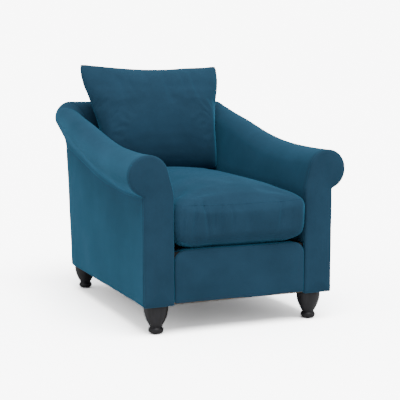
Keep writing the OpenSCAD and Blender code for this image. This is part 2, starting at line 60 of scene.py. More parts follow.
# ---------- camera ----------
def make_camera():
    data = bpy.data.cameras.new("camera")
    data.sensor_width = 36.0
    data.lens = 90.6
    cam = bpy.data.objects.new("camera", data)
    bpy.context.scene.collection.objects.link(cam)
    cam.location = (-1.549, -3.752, 0.909)
    pitch_down, yaw_right = 0.1213, 0.405
    cam.rotation_euler = (math.pi / 2 - pitch_down, 0, -yaw_right)
    bpy.context.scene.camera = cam


make_camera()

# ---------- sizes, from the frame ----------
facing_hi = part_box("right_arm_facing")[1]
border_lo, border_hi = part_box("front_border")
deck_lo, deck_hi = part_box("deck_cover")
back_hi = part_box("back_pad")[1]
HALF_W = facing_hi.x
ARM_H = 644 * MM
PANEL_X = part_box("right_outside_arm")[1].x
INNER_X = deck_hi.x + 2 * MM
FRONT_Y = border_lo.y
REAR_Y = back_hi.y
BACK_H = 804 * MM
BASE_Z = border_lo.z
DECK_Z = deck_hi.z
ARM_SLOPE = 0.218
RISE_START = FRONT_Y + 134 * MM
RISE_LEN = 480 * MM
BACK_RAKE = 0.13
BACK_LEAN = 0.19
BASE_BACK_Y = 457 * MM
PLAN_R = 80 * MM
ROLL_PLAN_R = 76 * MM
REAR_ROLL_X = HALF_W - 16 * MM
INNER_BACK_Y = 411 * MM
INNER_CORNER_R = 20 * MM
ROLL_DEPTH_FRONT, ROLL_DEPTH_BACK = 146 * MM, 138 * MM
FRONT_ROLL_R, REAR_ROLL_R, BACK_ROLL_R = 74 * MM, 44 * MM, 48 * MM
FRONT_FACE_TOP, REAR_FACE_TOP, BACK_FACE_TOP = 502 * MM, 549 * MM, 733 * MM
ARM_PAD_T, BACK_PAD_T = 24 * MM, 36 * MM
SEAM_Y = FRONT_Y + 2 * MM


def mix(a, b, t):
    return a + (b - a) * t


def smooth(t):
    t = min(1.0, max(0.0, t))
    return t * t * (3 - 2 * t)


# ---------- mesh helpers ----------
def add_object(name, mesh):
    obj = bpy.data.objects.new(name, mesh)
    bpy.context.scene.collection.objects.link(obj)
    return obj


def mesh_from(name, points, faces):
    mesh = bpy.data.meshes.new(name)
    mesh.from_pydata([tuple(map(float, p)) for p in points], [], faces)
    tool = bmesh.new()
    tool.from_mesh(mesh)
    bmesh.ops.remove_doubles(tool, verts=tool.verts, dist=1e-6)
    bmesh.ops.recalc_face_normals(tool, faces=tool.faces)
    tool.to_mesh(mesh)
    tool.free()
    for poly in mesh.polygons:
        poly.use_smooth = True
    return add_object(name, mesh)


def loft(name, rings, hub=0):
    """A closed solid through closed rings of points; each end is a fan from the point numbered hub."""
    count = len(rings[0])
    points = [p for ring in rings for p in ring]
    faces = []
    for k in range(len(rings) - 1):
        for i in range(count):
            a, b = k * count + i, k * count + (i + 1) % count
            faces.append((a, b, b + count, a + count))
    for base in (0, (len(rings) - 1) * count):
        for i in range(1, count - 1):
            faces.append((base + hub, base + (hub + i) % count, base + (hub + i + 1) % count))
    return mesh_from(name, points, faces)


def mirror_copy(obj, name):
    mesh = obj.data.copy()
    for v in mesh.vertices:
        v.co.x = -v.co.x
    mesh.flip_normals()
    return add_object(name, mesh)


def coords(obj):
    co = np.empty(len(obj.data.vertices) * 3)
    obj.data.vertices.foreach_get("co", co)
    return co.reshape(-1, 3)


def set_coords(obj, co):
    obj.data.vertices.foreach_set("co", np.asarray(co, float).ravel())
    obj.data.update()


def normals(obj):
    out = np.empty(len(obj.data.vertices) * 3)
    obj.data.vertex_normals.foreach_get("vector", out)
    return out.reshape(-1, 3)


def ripple(obj, amount, scale, seed, stretch=(1, 1, 1), keep=None):
    """Pushes points along their normals by smooth noise, so that cloth isn't machined flat."""
    co, nor = coords(obj), normals(obj)
    shift = np.array([noise.noise(Vector((p[0] * scale * stretch[0] + seed, p[1] * scale * stretch[1],
                                          p[2] * scale * stretch[2]))) for p in co])
    if keep is not None:
        shift = shift * keep(co, nor)
    set_coords(obj, co + nor * (shift * amount)[:, None])


def crease(obj, folds):
    """Presses soft valleys into cloth facing the front; a fold is x, low z, high z, slant, width, depth."""
    co, nor = coords(obj), normals(obj)
    facing = np.clip(-nor[:, 1] * 1.5, 0, 1)
    shift = np.zeros(len(co))
    for x, low, high, slant, width, depth in folds:
        t = np.clip((co[:, 2] - low) / (high - low), 0, 1)
        bend = slant * (t - 0.5) + 0.25 * width * np.sin(5 * t + 40 * x)
        shift += depth * np.sin(math.pi * t) ** 0.7 * np.exp(-((co[:, 0] - x - bend) / width) ** 2)
    set_coords(obj, co - nor * (shift * facing)[:, None])


def apply_modifiers(obj):
    graph = bpy.context.evaluated_depsgraph_get()
    mesh = bpy.data.meshes.new_from_object(obj.evaluated_get(graph))
    obj.modifiers.clear()
    obj.data = mesh
    for poly in mesh.polygons:
        poly.use_smooth = True


def subdivide(obj, levels=1):
    mod = obj.modifiers.new("subdivide", "SUBSURF")
    mod.levels = mod.render_levels = levels
    apply_modifiers(obj)


def remesh(obj, voxel):
    mod = obj.modifiers.new("remesh", "REMESH")
    mod.mode = "VOXEL"
    mod.voxel_size = voxel
    mod.use_smooth_shade = True
    apply_modifiers(obj)


def puff(obj, pressure, frames, cap, shrink=0.0):
    """Blows the closed cloth up with Blender's cloth solver, and caps how far any point moves."""
    start = coords(obj)
    mod = obj.modifiers.new("cloth", "CLOTH")
    cloth = mod.settings
    cloth.quality = 6
    cloth.mass = 0.4
    cloth.tension_stiffness = 25
    cloth.compression_stiffness = 25
    cloth.shear_stiffness = 8
    cloth.bending_stiffness = 0.4
    cloth.use_pressure = True
    cloth.uniform_pressure_force = pressure
    cloth.shrink_min = shrink
    cloth.effector_weights.gravity = 0
    mod.collision_settings.use_collision = False
    scene = bpy.context.scene
    scene.frame_start, scene.frame_end = 1, frames
    mod.point_cache.frame_start, mod.point_cache.frame_end = 1, frames
    for f in range(1, frames + 1):
        scene.frame_set(f)
    graph = bpy.context.evaluated_depsgraph_get()
    mesh = bpy.data.meshes.new_from_object(obj.evaluated_get(graph))
    obj.modifiers.clear()
    obj.data = mesh
    scene.frame_set(1)
    move = coords(obj) - start
    length = np.linalg.norm(move, axis=1)
    set_coords(obj, start + move * np.minimum(1, cap / np.maximum(length, 1e-9))[:, None])
    for poly in mesh.polygons:
        poly.use_smooth = True


def relax(obj, rounds):
    """Eases small creases left by the solver."""
    mod = obj.modifiers.new("relax", "SMOOTH")
    mod.factor = 0.5
    mod.iterations = rounds
    apply_modifiers(obj)


def tube(name, path, radius, closed=False):
    """A thin round seam along a list of points."""
    curve = bpy.data.curves.new(name, "CURVE")
    curve.dimensions = "3D"
    curve.bevel_depth = radius
    curve.bevel_resolution = 2
    spline = curve.splines.new("POLY")
    spline.points.add(len(path) - 1)
    for point, p in zip(spline.points, path):
        point.co = (*map(float, p), 1)
    spline.use_cyclic_u = closed
    made = add_object(name, curve)
    graph = bpy.context.evaluated_depsgraph_get()
    mesh = bpy.data.meshes.new_from_object(made.evaluated_get(graph))
    bpy.data.objects.remove(made)
    for poly in mesh.polygons:
        poly.use_smooth = True
    return add_object(name, mesh)


# ---------- materials ----------
def new_material(name):
    mat = bpy.data.materials.new(name)
    mat.use_nodes = True
    tree = mat.node_tree
    shader = tree.nodes["Principled BSDF"]
    place = tree.nodes.new("ShaderNodeTexCoord")
    return mat, tree, shader, place


def noise_node(tree, place, scale, detail=4.0, rough=0.5, stretch=None):
    node = tree.nodes.new("ShaderNodeTexNoise")
    node.inputs["Scale"].default_value = scale
    node.inputs["Detail"].default_value = detail
    node.inputs["Roughness"].default_value = rough
    source = place.outputs["Object"]
    if stretch:
        mapping = tree.nodes.new("ShaderNodeMapping")
        mapping.inputs["Scale"].default_value = stretch
        tree.links.new(source, mapping.inputs["Vector"])
        source = mapping.outputs["Vector"]
    tree.links.new(source, node.inputs["Vector"])
    return node


def ramp_node(tree, source, stops):
    node = tree.nodes.new("ShaderNodeValToRGB")
    while len(node.color_ramp.elements) < len(stops):
        node.color_ramp.elements.new(0.5)
    for element, (place, colour) in zip(node.color_ramp.elements, stops):
        element.position = place
        element.color = (*colour, 1)
    tree.links.new(source, node.inputs["Fac"])
    return node


def bump_node(tree, source, strength, distance, below=None):
    node = tree.nodes.new("ShaderNodeBump")
    node.inputs["Strength"].default_value = strength
    node.inputs["Distance"].default_value = distance
    tree.links.new(source, node.inputs["Height"])
    if below:
        tree.links.new(below.outputs["Normal"], node.inputs["Normal"])
    return node


def scaled(colour, k):
    return tuple(min(1.0, c * k) for c in colour)


def linear(r, g, b):
    """Linear colour from the 0 to 255 values of a display colour."""
    return tuple(((c / 255 + 0.055) / 1.055) ** 2.4 for c in (r, g, b))


VELVET = (0.0262, 0.0725, 0.124)


def make_velvet():
    """Dense short pile: brushed patches of lighter and darker nap, fine pile grain, and a cool sheen."""
    mat, tree, shader, place = new_material("velvet")
    patches = noise_node(tree, place, 7, 5, 0.55)
    brushed = ramp_node(tree, patches.outputs["Fac"],
                        [(0.3, scaled(VELVET, 0.86)), (0.52, VELVET), (0.72, scaled(VELVET, 1.14))])
    grain = noise_node(tree, place, 700, 3, 0.7)
    speck = ramp_node(tree, grain.outputs["Fac"], [(0.3, (0.84, 0.84, 0.84)), (0.7, (1.1, 1.1, 1.1))])
    both = tree.nodes.new("ShaderNodeMix")
    both.data_type = "RGBA"
    both.blend_type = "MULTIPLY"
    both.inputs["Factor"].default_value = 1.0
    tree.links.new(brushed.outputs["Color"], both.inputs["A"])
    tree.links.new(speck.outputs["Color"], both.inputs["B"])
    tree.links.new(both.outputs["Result"], shader.inputs["Base Color"])
    pile = noise_node(tree, place, 1400, 2, 0.6)
    fine = bump_node(tree, pile.outputs["Fac"], 0.35, 0.3 * MM)
    folds = noise_node(tree, place, 26, 3, 0.5)
    soft = bump_node(tree, folds.outputs["Fac"], 0.12, 2.5 * MM, fine)
    tree.links.new(soft.outputs["Normal"], shader.inputs["Normal"])
    shader.inputs["Roughness"].default_value = 0.95
    shader.inputs["Specular IOR Level"].default_value = 0.12
    shader.inputs["Sheen Weight"].default_value = 0.8
    shader.inputs["Sheen Roughness"].default_value = 0.4
    shader.inputs["Sheen Tint"].default_value = (0.1, 0.42, 0.68, 1)
    return mat


def make_stained_wood():
    mat, tree, shader, place = new_material("stained_wood")
    grain = noise_node(tree, place, 60, 6, 0.6, (1, 1, 0.08))
    dark, light = linear(20, 19, 23), linear(41, 40, 45)
    tone = ramp_node(tree, grain.outputs["Fac"], [(0.35, dark), (0.7, light)])
    tree.links.new(tone.outputs["Color"], shader.inputs["Base Color"])
    ridge = bump_node(tree, grain.outputs["Fac"], 0.1, 0.4 * MM)
    tree.links.new(ridge.outputs["Normal"], shader.inputs["Normal"])
    shader.inputs["Roughness"].default_value = 0.42
    shader.inputs["Coat Weight"].default_value = 0.15
    shader.inputs["Coat Roughness"].default_value = 0.3
    return mat


def make_timber():
    mat, tree, shader, place = new_material("timber")
    grain = noise_node(tree, place, 45, 6, 0.6, (0.12, 0.12, 1))
    tone = ramp_node(tree, grain.outputs["Fac"], [(0.3, linear(168, 130, 86)), (0.7, linear(216, 184, 138))])
    tree.links.new(tone.outputs["Color"], shader.inputs["Base Color"])
    ridge = bump_node(tree, grain.outputs["Fac"], 0.2, 0.4 * MM)
    tree.links.new(ridge.outputs["Normal"], shader.inputs["Normal"])
    shader.inputs["Roughness"].default_value = 0.7
    return mat


def make_steel():
    mat, tree, shader, place = new_material("steel")
    wear = noise_node(tree, place, 220, 4, 0.6)
    tone = ramp_node(tree, wear.outputs["Fac"], [(0.3, linear(150, 152, 156)), (0.7, linear(196, 198, 202))])
    tree.links.new(tone.outputs["Color"], shader.inputs["Base Color"])
    shader.inputs["Metallic"].default_value = 1.0
    shader.inputs["Roughness"].default_value = 0.38
    return mat


def make_woven(name, light, dark, pitch, roughness=0.95):
    """A plain weave of two thread directions, at a pitch in metres."""
    mat, tree, shader, place = new_material(name)
    waves = []
    for direction in ("X", "Y"):
        wave = tree.nodes.new("ShaderNodeTexWave")
        wave.bands_direction = direction
        wave.inputs["Scale"].default_value = 1 / pitch / 3.2
        wave.inputs["Distortion"].default_value = 0.6
        tree.links.new(place.outputs["Object"], wave.inputs["Vector"])
        waves.append(wave)
    weave = tree.nodes.new("ShaderNodeMath")
    weave.operation = "MULTIPLY"
    for k, wave in enumerate(waves):
        tree.links.new(wave.outputs["Fac"], weave.inputs[k])
    tone = ramp_node(tree, weave.outputs["Value"], [(0.1, dark), (0.7, light)])
    tree.links.new(tone.outputs["Color"], shader.inputs["Base Color"])
    ridge = bump_node(tree, weave.outputs["Value"], 0.5, 0.4 * MM)
    tree.links.new(ridge.outputs["Normal"], shader.inputs["Normal"])
    shader.inputs["Roughness"].default_value = roughness
    return mat


def make_filling():
    mat, tree, shader, place = new_material("filling")
    cells = noise_node(tree, place, 500, 4, 0.7)
    tone = ramp_node(tree, cells.outputs["Fac"], [(0.3, linear(214, 202, 172)), (0.7, linear(240, 232, 208))])
    tree.links.new(tone.outputs["Color"], shader.inputs["Base Color"])
    ridge = bump_node(tree, cells.outputs["Fac"], 0.4, 0.6 * MM)
    tree.links.new(ridge.outputs["Normal"], shader.inputs["Normal"])
    shader.inputs["Roughness"].default_value = 0.95
    return mat


def make_nylon():
    mat, tree, shader, place = new_material("nylon")
    scuff = noise_node(tree, place, 180, 4, 0.6)
    tone = ramp_node(tree, scuff.outputs["Fac"], [(0.35, linear(28, 28, 29)), (0.75, linear(52, 52, 54))])
    tree.links.new(tone.outputs["Color"], shader.inputs["Base Color"])
    shader.inputs["Roughness"].default_value = 0.6
    return mat


MATERIALS = {
    "velvet": make_velvet(),
    "stained_wood": make_stained_wood(),
    "timber": make_timber(),
    "steel": make_steel(),
    "jute": make_woven("jute", linear(190, 162, 112), linear(120, 96, 60), 3 * MM),
    "filling": make_filling(),
    "lining_cloth": make_woven("lining_cloth", linear(44, 44, 46), linear(20, 20, 21), 1.2 * MM),
    "nylon": make_nylon(),
}


def dress(obj, slot):
    obj.data.materials.clear()
    obj.data.materials.append(MATERIALS[slot])
    return obj


def upholster(obj, body, nodes=()):
    """Velvet piece on a body, standing for CAD nodes."""
    dress(obj, "velvet")
    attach(obj, body)
    if nodes:
        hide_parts(*nodes)
    return obj


for row in frame["record"]["subparts"]:
    dress(frame["nodes"][row["node"]], row["material_slot"])


# ---------- lines that the upholstery follows ----------
def roll_top(y):
    if y < RISE_START:
        return ARM_H
    if y < RISE_START + RISE_LEN:
        return ARM_H + ARM_SLOPE * (y - RISE_START) ** 2 / (2 * RISE_LEN)
    return ARM_H + ARM_SLOPE * (y - RISE_START - RISE_LEN / 2)


def arm_crease(y):
    t = min(1, max(0, (y - FRONT_Y) / (REAR_Y - FRONT_Y)))
    return roll_top(y) - mix(ROLL_DEPTH_FRONT, ROLL_DEPTH_BACK, t)


def outside_back_y(z):
    return BASE_BACK_Y + (z - BASE_Z) * BACK_RAKE


def panel_reach(inner, way, width, z):
    """Distance from an inner plan point at which a section meets the outside panel's face, at height z."""
    centre_x, centre_y = PANEL_X - PLAN_R, outside_back_y(z) - PLAN_R
    near, far = 0.0, width * 1.2
    for _ in range(40):
        u = (near + far) / 2
        qx, qy = inner[0] + way[0] * u - centre_x, inner[1] + way[1] * u - centre_y
        outside = (math.hypot(qx, qy) if min(qx, qy) > 0 else max(qx, qy)) > PLAN_R
        near, far = (near, u) if outside else (u, far)
    return near


SCROLL_FROM = math.radians(165)
ARC_POINTS = 34


def roll_profile(width, reach, top, depth, r, face_top, fold):
    """Roll in one section plane, from its inward side over the top to the soft fold below it."""
    cu, cz = width - r, top - r
    edge = np.array([reach(top - depth), top - depth])
    to_edge = edge - [cu, cz]
    last = math.atan2(to_edge[1], to_edge[0]) + math.acos(min(1, r / np.linalg.norm(to_edge)))
    inner_r = (face_top - top - cu / math.tan(SCROLL_FROM)) / (1 / math.sin(SCROLL_FROM) - 1)
    arc = [np.array([cu + inner_r * math.cos(a), top - inner_r * (1 - math.sin(a))])
           for a in np.linspace(SCROLL_FROM, math.pi / 2, ARC_POINTS // 2)[:-1]]
    arc += [np.array([cu + r * math.cos(a), cz + r * math.sin(a)])
            for a in np.linspace(math.pi / 2, last, ARC_POINTS // 2)]
    flank = np.linalg.norm(edge - arc[-1])
    begin = mix(edge, arc[-1], min(0.85, fold / max(flank, 1e-6)))
    low = np.array([reach(top - depth - fold), top - depth - fold])
    bend = [(1 - t) ** 2 * begin + 2 * t * (1 - t) * edge + t * t * low for t in np.linspace(0, 1, 9)]
    return arc + [mix(arc[-1], begin, 0.5)] + bend


def roll_section(inner, outer, top, depth, r, face_top, fold, lean, pad_t, tuck=0.0):
    """Closed outline of inside padding and roll. tuck pulls the outline in, for a seam."""
    inner, outer = np.array(inner), np.array(outer)
    width = np.linalg.norm(outer - inner)
    way = (outer - inner) / width
    shape = roll_profile(width, lambda z: panel_reach(inner, way, width, z), top, depth, r, face_top, fold)
    centre = np.array([width - r, top - r])
    if tuck:
        shape = [p + (centre - p) / np.linalg.norm(centre - p) * tuck for p in shape]
    drop = face_top - DECK_Z
    profile = [(tuck - lean * drop * (1 - t), DECK_Z + drop * t) for t in np.linspace(0, 1, 14)] + shape
    low = shape[-1][1]
    profile += [(pad_t - lean * (face_top - low), low)]
    hub = len(profile) - 1
    profile += [(pad_t - lean * drop * (1 - t), DECK_Z + drop * t) for t in (0.3, 0)]
    return [(inner[0] + way[0] * u, inner[1] + way[1] * u, z) for u, z in profile], hub


FOLD_FRONT, FOLD_BACK = 6 * MM, 22 * MM


def arm_section(t, tuck=0.0):
    y_in = mix(SEAM_Y, INNER_BACK_Y - INNER_CORNER_R, t)
    y_out = mix(SEAM_Y, REAR_Y - ROLL_PLAN_R, t)
    return roll_section((INNER_X, y_in), (mix(HALF_W, REAR_ROLL_X, t), y_out), roll_top(y_out),
                        roll_top(y_out) - arm_crease(y_out),
                        mix(FRONT_ROLL_R, REAR_ROLL_R, t), mix(FRONT_FACE_TOP, REAR_FACE_TOP, t),
                        mix(FOLD_FRONT, FOLD_BACK, t), 0, ARM_PAD_T, tuck)


CORNER_TOP = roll_top(REAR_Y - ROLL_PLAN_R)
CORNER_DEPTH = CORNER_TOP - arm_crease(REAR_Y - ROLL_PLAN_R)


def corner_section(t, tuck=0.0):
    a, s, up = math.pi / 2 * t, smooth(t), smooth(1.5 * t)
    turn = np.array([math.cos(a), math.sin(a)])
    inner = np.array([INNER_X - INNER_CORNER_R, INNER_BACK_Y - INNER_CORNER_R]) + INNER_CORNER_R * turn
    outer = np.array([REAR_ROLL_X - ROLL_PLAN_R, REAR_Y - ROLL_PLAN_R]) + ROLL_PLAN_R * turn
    return roll_section(inner, outer, mix(CORNER_TOP, BACK_H, up), mix(CORNER_DEPTH, ROLL_DEPTH_BACK, up),
                        mix(REAR_ROLL_R, BACK_ROLL_R, up),
                        mix(REAR_FACE_TOP, BACK_FACE_TOP, math.sin(math.pi / 2 * max(0, 2 * t - 1))),
                        FOLD_BACK, BACK_LEAN * s,
                        mix(ARM_PAD_T, BACK_PAD_T, s * s), tuck)


def back_section(s, tuck=0.0):
    return roll_section((s * (INNER_X - INNER_CORNER_R), INNER_BACK_Y),
                        (s * (REAR_ROLL_X - ROLL_PLAN_R), REAR_Y), BACK_H, ROLL_DEPTH_BACK,
                        BACK_ROLL_R, BACK_FACE_TOP, FOLD_BACK, BACK_LEAN, BACK_PAD_T, tuck)


def flipped(ring):
    return [(-x, y, z) for x, y, z in ring]


# ---------- arms and back ----------
SEAM_TUCK = 1.6 * MM
SEAM_STEPS = ((0.002, 1.5), (0.006, 0.5))
MITRE = 0.5


def make_arm_covers():
    hub = arm_section(0)[1]
    rings = [arm_section(0, SEAM_TUCK * 1.6)[0], arm_section(0.0015, SEAM_TUCK * 0.7)[0]]
    rings += [arm_section(t)[0] for t in np.linspace(0.006, 1, 60)]
    rings += [corner_section(t)[0] for t in np.linspace(0.06, MITRE - 0.02, 8)]
    rings += [corner_section(MITRE - gap, SEAM_TUCK * tuck)[0] for gap, tuck in SEAM_STEPS[::-1]]
    right = loft("right_arm_cover", rings, hub)
    ripple(right, 2.2 * MM, 6, 3.1)
    left = mirror_copy(right, "left_arm_cover")
    upholster(right, "chair", ["right_arm_pad"])
    upholster(left, "chair", ["left_arm_pad"])


def make_back_cover():
    hub = back_section(1)[1]
    rings = [corner_section(MITRE + gap, SEAM_TUCK * tuck)[0] for gap, tuck in SEAM_STEPS]
    rings += [corner_section(t)[0] for t in np.linspace(MITRE + 0.02, 0.97, 8)]
    rings += [back_section(s)[0] for s in np.linspace(1, 0, 24)]
    rings += [flipped(ring) for ring in rings[-2::-1]]
    cover = loft("back_cover", rings, hub)
    ripple(cover, 2.2 * MM, 6, 7.7)
    upholster(cover, "chair", ["back_pad"])


def inset_loop(loop, d):
    """A closed outline of (x, z) points moved inwards by d."""
    pts = np.array(loop)
    along = np.roll(pts, -1, axis=0) - np.roll(pts, 1, axis=0)
    along /= np.maximum(np.linalg.norm(along, axis=1), 1e-9)[:, None]
    area = np.sum(pts[:, 0] * np.roll(pts[:, 1], -1) - np.roll(pts[:, 0], -1) * pts[:, 1])
    inward = np.column_stack([-along[:, 1], along[:, 0]]) * (1 if area > 0 else -1)
    return pts + inward * d


def outline_distance(points, outline):
    """Distance of each (x, z) point from a closed outline."""
    a = np.array(outline)
    b = np.roll(a, -1, axis=0)
    ab = b - a
    length = np.maximum(np.sum(ab * ab, axis=1), 1e-12)
    out = np.empty(len(points))
    for k, p in enumerate(points):
        t = np.clip(np.sum((p - a) * ab, axis=1) / length, 0, 1)
        out[k] = np.min(np.linalg.norm(a + ab * t[:, None] - p, axis=1))
    return out


def padded_front(name, outline, swell, depth, columns, gap, hub):
    """Front panel on an outline: a grid of rows whose face swells with distance from the rim, a rim behind it
    and a back fanned from the (x, z) point hub."""
    pts = np.array(outline)
    heights = sorted(set(np.round(pts[:, 1], 5)))
    rows = [heights[0]]
    for z in heights[1:]:
        if z - rows[-1] < 0.4 * MM and z != heights[-1]:
            continue
        steps = max(1, math.ceil((z - rows[-1]) / gap))
        rows += [mix(rows[-1], z, k / steps) for k in range(1, steps + 1)]
    fan = [mix(0, 1, k / 3) for k in range(4)]
    near_low = [rows[0] + (rows[1] - rows[0]) * f * f for f in fan]
    rows = near_low + rows[2:]
    grid = []
    nxt = np.roll(pts, -1, axis=0)
    for z in rows:
        zc = min(max(z, pts[:, 1].min() + 1e-6), pts[:, 1].max() - 1e-6)
        hit = (pts[:, 1] - zc) * (nxt[:, 1] - zc) <= 0
        hit &= np.abs(nxt[:, 1] - pts[:, 1]) > 1e-9
        t = (zc - pts[hit, 1]) / (nxt[hit, 1] - pts[hit, 1])
        xs = pts[hit, 0] + (nxt[hit, 0] - pts[hit, 0]) * t
        left, right = xs.min(), xs.max()
        grid.append([(mix(left, right, 0.5 - 0.5 * math.cos(math.pi * k / columns)), z)
                     for k in range(columns + 1)])
    flat = np.array([p for row in grid for p in row])
    distance = outline_distance(flat, outline)
    points = [(x, FRONT_Y - swell(d), z) for (x, z), d in zip(flat, distance)]
    wide, tall = columns + 1, len(grid)
    faces = [(j * wide + i, j * wide + i + 1, (j + 1) * wide + i + 1, (j + 1) * wide + i)
             for j in range(tall - 1) for i in range(columns)]
    loop = [i for i in range(columns)] + [j * wide + columns for j in range(tall - 1)]
    loop += [(tall - 1) * wide + columns - i for i in range(columns)]
    loop += [(tall - 1 - j) * wide for j in range(tall - 1)]
    ring = [points[k] for k in loop]
    clean = inset_loop([(x, z) for x, _, z in ring], 1.2 * MM)
    last = loop
    for back, pull in ((1.0 * MM, 0), (2.2 * MM, 1), (4 * MM, 1), (depth, 1)):
        start = len(points)
        for (x, _, z), (cx, cz) in zip(ring, clean):
            points.append((mix(x, cx, pull), FRONT_Y + back, mix(z, cz, pull)))
        now = list(range(start, start + len(loop)))
        faces += [(last[k], last[(k + 1) % len(loop)], now[(k + 1) % len(loop)], now[k])
                  for k in range(len(loop))]
        last = now
    points.append((hub[0], FRONT_Y + depth, hub[1]))
    faces += [(last[k], last[(k + 1) % len(last)], len(points) - 1) for k in range(len(last))]
    return mesh_from(name, points, faces)


FACING_IN_X = INNER_X + 1 * MM
FACING_LOW = BASE_Z - 1.5 * MM


def facing_outline():
    """Arm front: a post with a soft foot edge, and the arm's own roll section on top."""
    face_top = FRONT_FACE_TOP
    shape = roll_profile(HALF_W - INNER_X, lambda z: PANEL_X - INNER_X, ARM_H, ROLL_DEPTH_FRONT,
                         FRONT_ROLL_R, face_top, FOLD_FRONT)
    r = 5 * MM
    line = [(FACING_IN_X + r * (1 - math.sin(a)), FACING_LOW + r * (1 - math.cos(a)))
            for a in np.linspace(0, math.pi / 2, 6)]
    line += [(FACING_IN_X, mix(FACING_LOW + r, face_top, t)) for t in np.linspace(0.02, 1, 30)]
    line += [(max(INNER_X + u, FACING_IN_X), z) for u, z in shape]
    end = line[-1][1]
    line += [(PANEL_X, mix(end, FACING_LOW + r, t)) for t in np.linspace(0.03, 1, 26)]
    line += [(PANEL_X - r * (1 - math.cos(a)), FACING_LOW + r * (1 - math.sin(a)))
             for a in np.linspace(0, math.pi / 2, 6)[1:]]
    return line


def rounded_rim(d, radius, height):
    t = min(1.0, d / radius)
    return height * math.sqrt(max(0.0, 1 - (1 - t) ** 2))


def make_facings():
    """Arm fronts: a tight rounded rim and padding that swells in the middle."""
    right = padded_front("right_arm_facing_cover", facing_outline(),
                         lambda d: rounded_rim(d, 11 * MM, 9 * MM) + 7 * MM * smooth(d / (52 * MM)),
                         14 * MM, 44, 8 * MM, (PANEL_X - 30 * MM, ARM_H - FRONT_ROLL_R))
    ripple(right, 1.4 * MM, 9, 12.4)
    left = mirror_copy(right, "left_arm_facing_cover")
    upholster(right, "chair", ["right_arm_facing"])
    upholster(left, "chair", ["left_arm_facing"])


PANEL_T = 6 * MM


def back_plan(s, z, inset):
    """Plan point of the outside cover: s to 1 runs along the side, to 2 round the corner, to 3 at the middle."""
    yb = outside_back_y(z)
    r = PLAN_R - inset
    if s < 1:
        return (PANEL_X - inset, mix(SEAM_Y + 1 * MM, yb - PLAN_R, s), z)
    if s <= 2:
        a = math.pi / 2 * (s - 1)
        return (PANEL_X - PLAN_R + r * math.cos(a), yb - PLAN_R + r * math.sin(a), z)
    return (mix(PANEL_X - PLAN_R, 0, s - 2), yb - inset, z)


def panel_top(s):
    """Top of the outside cover: the lower end of the soft fold under the roll."""
    if s < 1:
        return arm_crease(mix(SEAM_Y, REAR_Y - ROLL_PLAN_R, s)) - mix(FOLD_FRONT, FOLD_BACK, s) + 1 * MM
    end = arm_crease(REAR_Y - ROLL_PLAN_R)
    return mix(end, BACK_H - ROLL_DEPTH_BACK, smooth(1.5 * (s - 1))) - FOLD_BACK + 1 * MM


def panel_ring(s, tuck=0.0):
    """Strip of cloth over board at one station: outer face from the base up, then the inner face down."""
    top = panel_top(s)
    heights = [0, 0.003, 0.008, 0.016, *np.linspace(0.05, 0.96, 22), 0.995, 1]
    ring = []
    for h in heights:
        pull = 5 * MM * max(0, 1 - h / 0.016) ** 2 + 0.8 * MM * max(0, (h - 0.96) / 0.04)
        ring.append(back_plan(s, mix(FACING_LOW, top, h), tuck + pull))
    ring += [back_plan(s, mix(FACING_LOW, top, h), PANEL_T) for h in (1, 0.66, 0.33, 0)]
    return ring


def make_outside():
    """Outside arms, each wrapped round its rear corner, and the outside back sewn between them."""
    corner_end = 1.98
    stations = [0.0, 0.004, 0.01, *np.linspace(0.03, 0.97, 40), *np.linspace(1, corner_end - 0.01, 20)]
    rings = [panel_ring(s, SEAM_TUCK * 1.2 if s == 0 else 0) for s in stations]
    rings += [panel_ring(corner_end, SEAM_TUCK)]
    right = loft("right_outside_arm_cover", rings)
    ripple(right, 2.4 * MM, 5, 21.3)
    left = mirror_copy(right, "left_outside_arm_cover")
    upholster(right, "chair", ["right_outside_arm"])
    upholster(left, "chair", ["left_outside_arm"])
    half = [panel_ring(corner_end + 0.005, SEAM_TUCK)] + [panel_ring(s) for s in np.linspace(2.0, 3, 24)]
    back = loft("outside_back_cover", half + [flipped(ring) for ring in half[-2::-1]])
    ripple(back, 2.4 * MM, 5, 33.9)
    upholster(back, "chair", ["outside_back"])


def make_border():
    """Padded front under the cushion: rounded upper corners and a swelling face."""
    half, r, foot = INNER_X - 1 * MM, 45 * MM, 6 * MM
    low, high = BASE_Z + 6 * MM, border_hi.z + 4 * MM
    quarter = np.linspace(0, math.pi / 2, 14)
    line = [(half - foot + foot * math.sin(a), low + foot - foot * math.cos(a)) for a in quarter[::2]]
    line += [(half - r + r * math.cos(a), high - r + r * math.sin(a)) for a in quarter]
    outline = line + [(-x, z) for x, z in reversed(line)]
    border = padded_front("front_border_cover", outline,
                          lambda d: rounded_rim(d, 12 * MM, 8 * MM) + 5 * MM * smooth(d / (70 * MM)),
                          52 * MM, 90, 8 * MM, (0, (low + high) / 2))
    ripple(border, 1.8 * MM, 8, 41.0)
    upholster(border, "chair", ["front_border"])


# ---------- loose cushions ----------
def rounded_rectangle(half_x, half_y, r, count=15):
    """Closed plan ring: four round corners of the radius given, and points along the straight sides."""
    r = min(r, half_x - 1 * MM, half_y - 1 * MM)
    ring = []
    for k, (cx, cy) in enumerate(((1, 1), (-1, 1), (-1, -1), (1, -1))):
        for a in np.linspace(0, math.pi / 2, 9):
            turn = a + k * math.pi / 2
            ring.append((cx * (half_x - r) + r * math.cos(turn), cy * (half_y - r) + r * math.sin(turn)))
        nx, ny = ((-1, 1), (-1, -1), (1, -1), (1, 1))[k]
        turn = (k + 1) * math.pi / 2
        x0, y0 = ring[-1]
        x1, y1 = nx * (half_x - r) + r * math.cos(turn), ny * (half_y - r) + r * math.sin(turn)
        ring += [(mix(x0, x1, t), mix(y0, y1, t)) for t in np.linspace(0, 1, count + 2)[1:-1]]
    return ring


